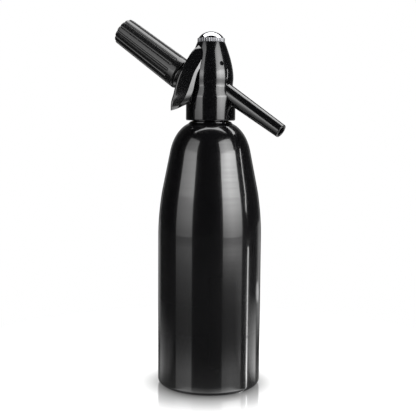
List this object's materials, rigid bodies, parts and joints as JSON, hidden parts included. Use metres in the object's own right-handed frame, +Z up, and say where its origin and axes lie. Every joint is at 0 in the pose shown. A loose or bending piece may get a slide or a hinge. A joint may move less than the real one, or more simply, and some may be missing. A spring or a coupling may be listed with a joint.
{
  "type": "sparkling water maker",
  "caption": "Gloss black hand-held sparkling water maker: pressure bottle, screw-on head with thumb lever, sloping spout, ribbed gas charger holder and chrome top cap.",
  "frame": {"origin": "centre of the bottle's base, in the plane of the foot ring", "axes": "+Z up along the bottle's axis, +X the way the spout points, -X the way the charger holder points, +Y to the side away from the lever"},
  "size_m": [0.1675, 0.09, 0.3209],
  "materials": {
    "bottle_enamel": "gloss black enamel over aluminium",
    "gloss_black": "gloss black moulding",
    "satin_black": "satin black moulding",
    "chrome": "bright chrome plate",
    "steel": "turned stainless steel",
    "charger_steel": "drawn and plated steel",
    "brass": "machined brass",
    "rubber": "black moulded rubber",
    "pale_plastic": "natural white plastic"
  },
  "bodies": {
    "bottle": {"bottle": "bottle_enamel", "measuring_tube": "pale_plastic"},
    "head_seal": {"head_gasket": "rubber"},
    "head": {"head_housing": "gloss_black", "neck_insert": "brass", "valve_body": "brass", "valve_seal": "rubber", "stem_seal": "rubber", "gland_nut": "brass", "valve_spring": "steel", "dip_tube_nut": "brass", "dip_tube": "pale_plastic", "spout": "gloss_black", "spout_seal": "rubber", "pivot_pin": "steel", "inlet_shroud": "gloss_black", "charger_nipple": "brass", "piercing_pin": "steel", "charger_seal": "rubber", "check_valve": "rubber"},
    "lever": {"lever_paddle": "gloss_black", "lever_arm": "steel"},
    "valve_stem": {"valve_stem": "steel", "valve_washer": "rubber"},
    "charger": {"gas_charger": "charger_steel"},
    "holder": {"holder_sleeve": "satin_black", "holder_liner": "steel"},
    "cap_seal": {"cap_seal": "rubber"},
    "cap": {"top_cap": "chrome"}
  },
  "joints": [
    {"name": "head_travel", "type": "slide", "parent": "bottle", "child": "head_seal", "axis": [0, 0, 1], "range_m": [0, 0.0105]},
    {"name": "head_turn", "type": "hinge", "parent": "head_seal", "child": "head", "pos_m": [0, 0, 0.24], "axis": [0, 0, 1], "range_deg": [0, 1260]},
    {"name": "lever_press", "type": "hinge", "parent": "head", "child": "lever", "pos_m": [0, 0, 0.2799], "axis": [0.866, -0.5, 0], "range_deg": [0, 6.5], "stiffness_Nm_per_rad": 0.0271, "springref_deg": -40.45},
    {"name": "valve_open", "type": "slide", "parent": "head", "child": "valve_stem", "axis": [0, 0, -1], "range_m": [0, 0.0005], "deforming": ["valve_spring"]},
    {"name": "charger_travel", "type": "slide", "parent": "head", "child": "charger", "axis": [-0.8387, 0, 0.5446], "range_m": [0, 0.0075]},
    {"name": "holder_turn", "type": "hinge", "parent": "charger", "child": "holder", "pos_m": [-0.03355, 0, 0.27379], "axis": [-0.8387, 0, 0.5446], "range_deg": [0, 1800]},
    {"name": "cap_travel", "type": "slide", "parent": "head", "child": "cap_seal", "axis": [0, 0, 1], "range_m": [0, 0.00625]},
    {"name": "cap_turn", "type": "hinge", "parent": "cap_seal", "child": "cap", "pos_m": [0, 0, 0.2983], "axis": [0, 0, 1], "range_deg": [0, 1800]}
  ],
  "couplings": [
    {"joint": "head_travel", "follows": "head_turn", "m_per_rad": 0.00047746},
    {"joint": "valve_open", "follows": "lever_press", "m_per_rad": 0.00425},
    {"joint": "charger_travel", "follows": "holder_turn", "m_per_rad": 0.00023873},
    {"joint": "cap_travel", "follows": "cap_turn", "m_per_rad": 0.00019894}
  ]
}
